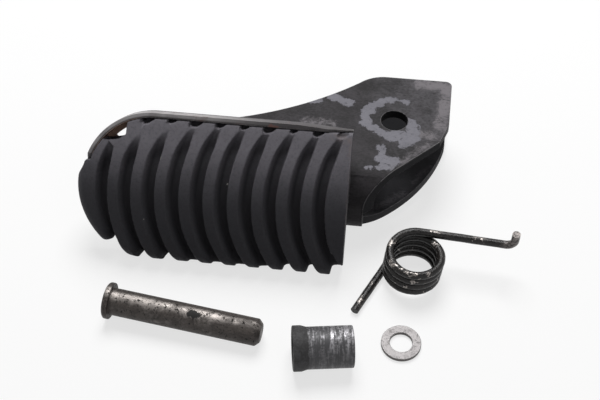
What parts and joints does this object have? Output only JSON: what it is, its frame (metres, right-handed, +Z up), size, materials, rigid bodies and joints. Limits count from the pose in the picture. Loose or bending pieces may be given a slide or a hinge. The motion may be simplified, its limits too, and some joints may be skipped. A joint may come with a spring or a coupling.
{
  "type": "folding footpeg with its pivot hardware taken off",
  "caption": "Folding motorcycle footpeg lying on its side: clevis arm, tread tray and ribbed rubber pad, with its pivot pin, collar, torsion spring and washer laid out in front.",
  "frame": {"origin": "on the pivot bore's axis, at the outer face of the lower ear, which lies on the ground", "axes": "+X along the peg from the tip to the pivot, +Z up along the pivot bore"},
  "size_m": [0.1662, 0.1311, 0.0486],
  "materials": {
    "clevis_arm": "dark grey paint, worn through to grey metal round the bore and along the edges",
    "tread_tray": "dark paint with a bare, lightly rusted rim",
    "rubber_pad": "dull black, dusty",
    "pivot_pin": "worn and pitted, brown stains",
    "pivot_collar": "dark at one end, ring wear along the rest",
    "washer": "plated, scuffed",
    "torsion_spring": "black oxide, worn shiny in spots"
  },
  "bodies": {
    "root": {"clevis_arm": "clevis_arm", "tread_tray": "tread_tray", "rubber_pad": "rubber_pad", "pivot_pin": "pivot_pin", "pivot_collar": "pivot_collar", "washer": "washer", "torsion_spring": "torsion_spring"}
  },
  "joints": []
}
